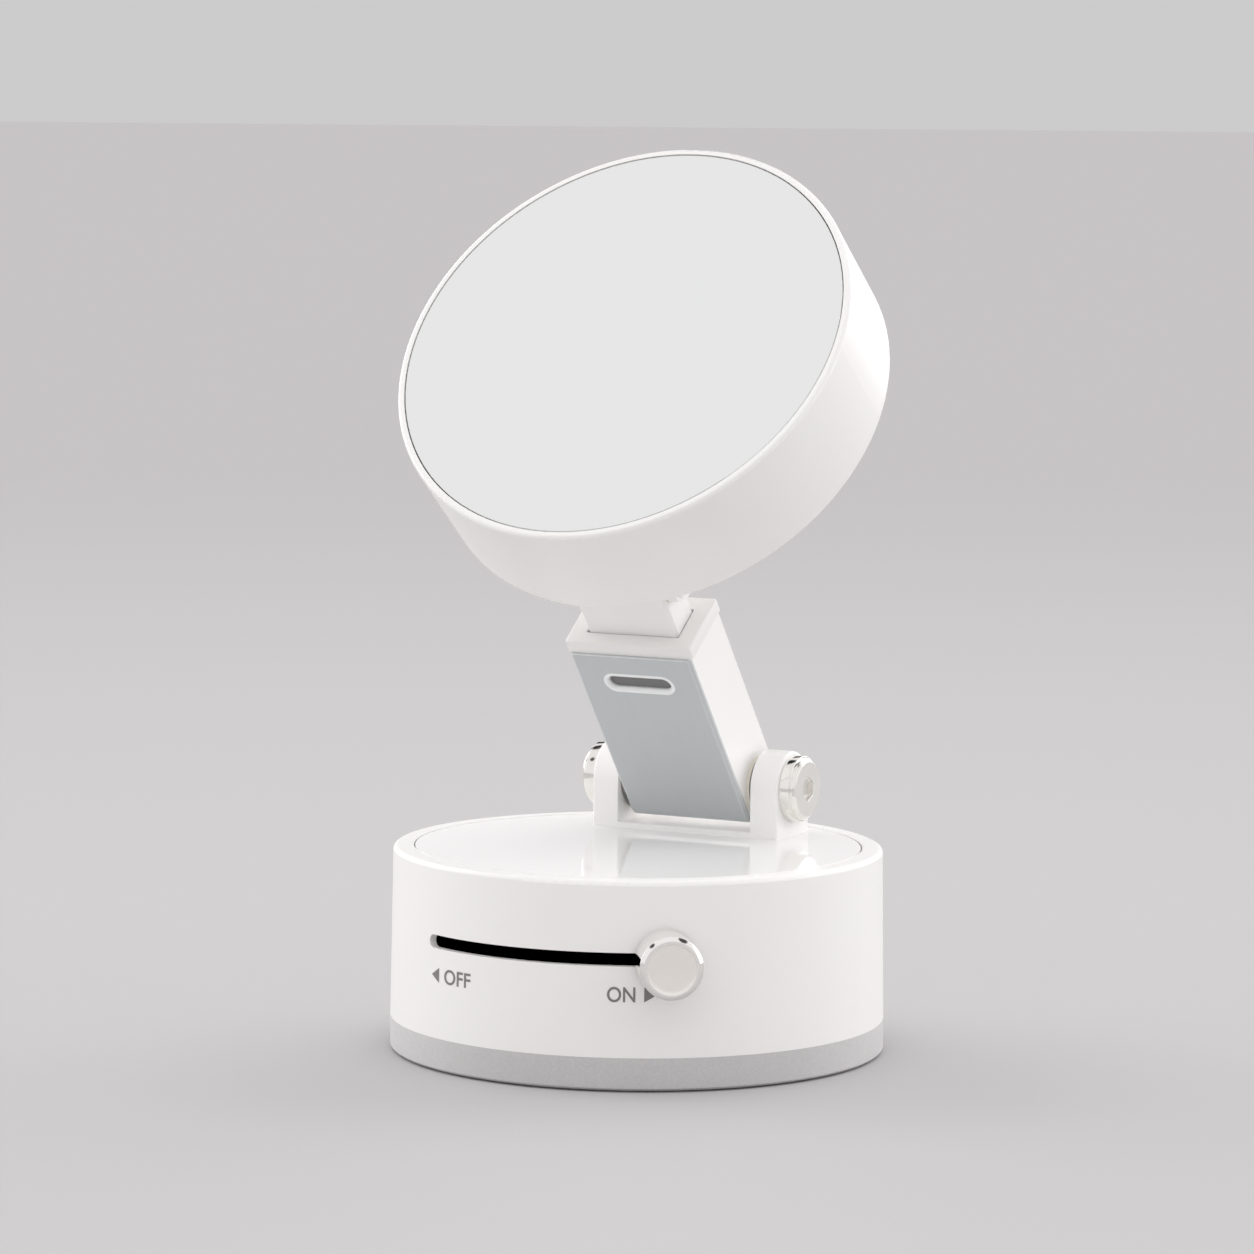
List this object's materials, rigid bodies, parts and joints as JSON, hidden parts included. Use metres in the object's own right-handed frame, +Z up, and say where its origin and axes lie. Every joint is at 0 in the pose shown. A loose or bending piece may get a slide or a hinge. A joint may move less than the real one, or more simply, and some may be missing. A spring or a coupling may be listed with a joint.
{
  "type": "extendable shaving mirror",
  "caption": "Small round shaving mirror on a telescoping, folding arm above a turntable, with a cam-locked suction base worked by a sliding knob.",
  "frame": {"origin": "middle of the suction pad's contact circle, on the surface that the mirror stands on", "axes": "+Z up along the base's axis; the mirror faces -Y and every hinge axis runs along X"},
  "size_m": [0.072, 0.0743, 0.1304],
  "materials": {
    "white_abs": "semi-gloss moulded",
    "white_acrylic": "polished",
    "silver_ring": "satin",
    "anodised_aluminium": "satin anodised",
    "nickel": "polished nickel",
    "knob_nickel": "satin pearl nickel",
    "tpu": "soft satin",
    "black_pom": "moulded",
    "natural_pom": "moulded",
    "steel": "zinc plated",
    "spring_steel": "polished wire",
    "foam": "adhesive foam",
    "mirror": "silvered glass"
  },
  "bodies": {
    "base": {"suction_pad": "tpu", "bottom_ring": "silver_ring", "chassis": "black_pom", "base_housing": "white_abs", "housing_screws": "steel", "slip_ring": "natural_pom", "return_spring": "spring_steel"},
    "lock": {"cam_ring": "black_pom", "knob_post": "steel", "slider_knob": "knob_nickel"},
    "lifter": {"follower": "natural_pom", "lift_stem": "steel", "stem_screw": "steel"},
    "turntable": {"turntable_carrier": "white_abs", "turntable_cover": "white_acrylic", "wave_washer": "spring_steel", "hub_washer": "steel", "hub_screw": "steel", "yoke": "white_abs", "yoke_screws": "steel", "hinge_shaft": "steel", "pivot_cap_left": "nickel", "pivot_cap_right": "nickel", "spring_washers": "spring_steel"},
    "outer_arm": {"arm_sleeve": "white_abs", "sleeve_plate": "anodised_aluminium", "brake_pad": "black_pom", "leaf_spring": "spring_steel", "sleeve_collar": "white_abs", "hinge_bushes": "natural_pom"},
    "inner_arm": {"inner_arm": "white_abs", "stop_pin": "steel"},
    "head": {"head_clevis": "white_abs", "clevis_stiffener": "steel", "clevis_screws": "steel", "tilt_pin": "steel", "tilt_caps": "white_abs", "tilt_washers": "natural_pom", "head_shell": "white_abs", "mirror_tray": "natural_pom", "tray_screws": "steel", "mirror_foam": "foam", "mirror_glass": "mirror"}
  },
  "joints": [
    {"name": "lock_turn", "type": "hinge", "parent": "base", "child": "lock", "pos_m": [0, 0, 0.01872], "axis": [0, 0, 1], "range_deg": [-60.2, 0]},
    {"name": "pad_lift", "type": "slide", "parent": "base", "child": "lifter", "axis": [0, 0, 1], "range_m": [-0.002, 0], "deforming": ["return_spring", "suction_pad"]},
    {"name": "turntable_spin", "type": "hinge", "parent": "base", "child": "turntable", "pos_m": [0, 0, 0.0297], "axis": [0, 0, 1], "continuous": true},
    {"name": "arm_fold", "type": "hinge", "parent": "turntable", "child": "outer_arm", "pos_m": [0, 0.0197, 0.0368], "axis": [1, 0, 0], "range_deg": [-97.5, 40]},
    {"name": "arm_extend", "type": "slide", "parent": "outer_arm", "child": "inner_arm", "axis": [0, -0.6088, 0.7934], "range_m": [-0.0035, 0.0148]},
    {"name": "head_tilt", "type": "hinge", "parent": "inner_arm", "child": "head", "pos_m": [0, -0.00489, 0.06885], "axis": [-1, 0, 0], "range_deg": [-45, 95]}
  ],
  "couplings": [
    {"joint": "pad_lift", "follows": "lock_turn", "m_per_rad": 0.0019035}
  ]
}
